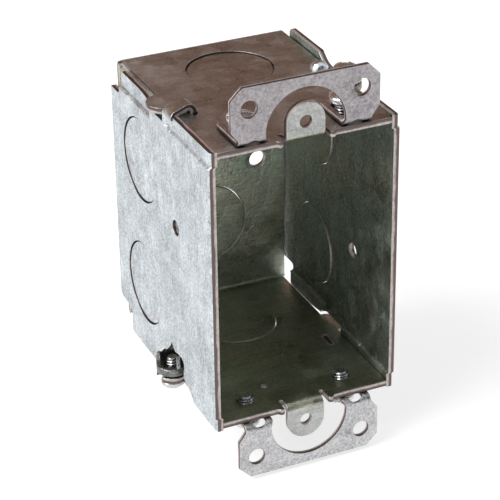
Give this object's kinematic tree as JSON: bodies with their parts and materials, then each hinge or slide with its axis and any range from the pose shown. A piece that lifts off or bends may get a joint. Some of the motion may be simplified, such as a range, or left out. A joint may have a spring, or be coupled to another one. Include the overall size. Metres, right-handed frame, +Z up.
{
  "type": "gangable steel device box",
  "caption": "Galvanised steel electrical box, open at the front, with removable side panels, adjustable plaster ears, device tabs and knockouts.",
  "frame": {"origin": "outer face of the back wall, midway between the two back screw holes", "axes": "+Z up along the height, the open front faces -Y, +X to the right seen from the front"},
  "size_m": [0.058, 0.0654, 0.1068],
  "materials": {
    "galvanised_sheet": "galvanised sheet with a mottled dull spangle",
    "ear_sheet": "galvanised strip, brighter and finely speckled",
    "zinc_plated_screw": "zinc-plated, shiny and dark in the threads"
  },
  "bodies": {
    "box": {"box_body": "galvanised_sheet"},
    "left_side_panel": {"left_side_panel": "galvanised_sheet"},
    "right_side_panel": {"right_side_panel": "galvanised_sheet"},
    "upper_plaster_ear": {"upper_plaster_ear": "ear_sheet"},
    "lower_plaster_ear": {"lower_plaster_ear": "ear_sheet"},
    "left_panel_screw": {"left_panel_screw": "zinc_plated_screw"},
    "right_panel_screw": {"right_panel_screw": "zinc_plated_screw"},
    "upper_left_ear_screw": {"upper_left_ear_screw": "zinc_plated_screw"},
    "upper_right_ear_screw": {"upper_right_ear_screw": "zinc_plated_screw"},
    "lower_left_ear_screw": {"lower_left_ear_screw": "zinc_plated_screw"},
    "lower_right_ear_screw": {"lower_right_ear_screw": "zinc_plated_screw"},
    "top_knockout": {"top_knockout": "galvanised_sheet"},
    "bottom_knockout": {"bottom_knockout": "galvanised_sheet"},
    "back_upper_knockout": {"back_upper_knockout": "galvanised_sheet"},
    "back_lower_knockout": {"back_lower_knockout": "galvanised_sheet"},
    "left_upper_knockout": {"left_upper_knockout": "galvanised_sheet"},
    "left_lower_knockout": {"left_lower_knockout": "galvanised_sheet"},
    "right_upper_knockout": {"right_upper_knockout": "galvanised_sheet"},
    "right_lower_knockout": {"right_lower_knockout": "galvanised_sheet"}
  },
  "joints": [
    {"name": "left_panel_swing", "type": "hinge", "parent": "box", "child": "left_side_panel", "pos_m": [-0.019, -0.0384, 0.0381], "axis": [0, 1, 0], "range_deg": [0, 8]},
    {"name": "right_panel_swing", "type": "hinge", "parent": "box", "child": "right_side_panel", "pos_m": [0.019, -0.0384, -0.0381], "axis": [0, 1, 0], "range_deg": [0, 8]},
    {"name": "upper_ear_slide", "type": "slide", "parent": "box", "child": "upper_plaster_ear", "axis": [0, 1, 0], "range_m": [-0.002, 0.0025]},
    {"name": "lower_ear_slide", "type": "slide", "parent": "box", "child": "lower_plaster_ear", "axis": [0, 1, 0], "range_m": [-0.0002, 0.0043]},
    {"name": "left_panel_screw_turn", "type": "hinge", "parent": "left_side_panel", "child": "left_panel_screw", "pos_m": [-0.0248, -0.035, -0.0381], "axis": [0, 0, -1], "continuous": true},
    {"name": "right_panel_screw_turn", "type": "hinge", "parent": "right_side_panel", "child": "right_panel_screw", "pos_m": [0.0248, -0.035, 0.0381], "axis": [0, 0, 1], "continuous": true},
    {"name": "upper_left_ear_screw_turn", "type": "hinge", "parent": "box", "child": "upper_left_ear_screw", "pos_m": [-0.0135, -0.056, 0.0381], "axis": [0, 0, 1], "continuous": true},
    {"name": "upper_right_ear_screw_turn", "type": "hinge", "parent": "box", "child": "upper_right_ear_screw", "pos_m": [0.0135, -0.056, 0.0381], "axis": [0, 0, 1], "continuous": true},
    {"name": "lower_left_ear_screw_turn", "type": "hinge", "parent": "box", "child": "lower_left_ear_screw", "pos_m": [-0.0135, -0.056, -0.0381], "axis": [0, 0, -1], "continuous": true},
    {"name": "lower_right_ear_screw_turn", "type": "hinge", "parent": "box", "child": "lower_right_ear_screw", "pos_m": [0.0135, -0.056, -0.0381], "axis": [0, 0, -1], "continuous": true},
    {"name": "top_knockout_bend", "type": "hinge", "parent": "box", "child": "top_knockout", "pos_m": [0.01127, -0.0192, 0.03625], "axis": [0, -1, 0], "range_deg": [0, 25]},
    {"name": "bottom_knockout_bend", "type": "hinge", "parent": "box", "child": "bottom_knockout", "pos_m": [-0.01127, -0.0192, -0.03625], "axis": [0, -1, 0], "range_deg": [0, 25]},
    {"name": "back_upper_knockout_bend", "type": "hinge", "parent": "box", "child": "back_upper_knockout", "pos_m": [0, -0.00185, 0.02587], "axis": [-1, 0, 0], "range_deg": [0, 25]},
    {"name": "back_lower_knockout_bend", "type": "hinge", "parent": "box", "child": "back_lower_knockout", "pos_m": [0, -0.00185, -0.02587], "axis": [1, 0, 0], "range_deg": [0, 25]},
    {"name": "left_upper_knockout_bend", "type": "hinge", "parent": "left_side_panel", "child": "left_upper_knockout", "pos_m": [-0.02355, -0.00793, 0.0177], "axis": [0, 0, 1], "range_deg": [0, 25]},
    {"name": "left_lower_knockout_bend", "type": "hinge", "parent": "left_side_panel", "child": "left_lower_knockout", "pos_m": [-0.02355, -0.00793, -0.0181], "axis": [0, 0, 1], "range_deg": [0, 25]},
    {"name": "right_upper_knockout_bend", "type": "hinge", "parent": "right_side_panel", "child": "right_upper_knockout", "pos_m": [0.02355, -0.00793, 0.0181], "axis": [0, 0, -1], "range_deg": [0, 25]},
    {"name": "right_lower_knockout_bend", "type": "hinge", "parent": "right_side_panel", "child": "right_lower_knockout", "pos_m": [0.02355, -0.00793, -0.0177], "axis": [0, 0, -1], "range_deg": [0, 25]}
  ]
}
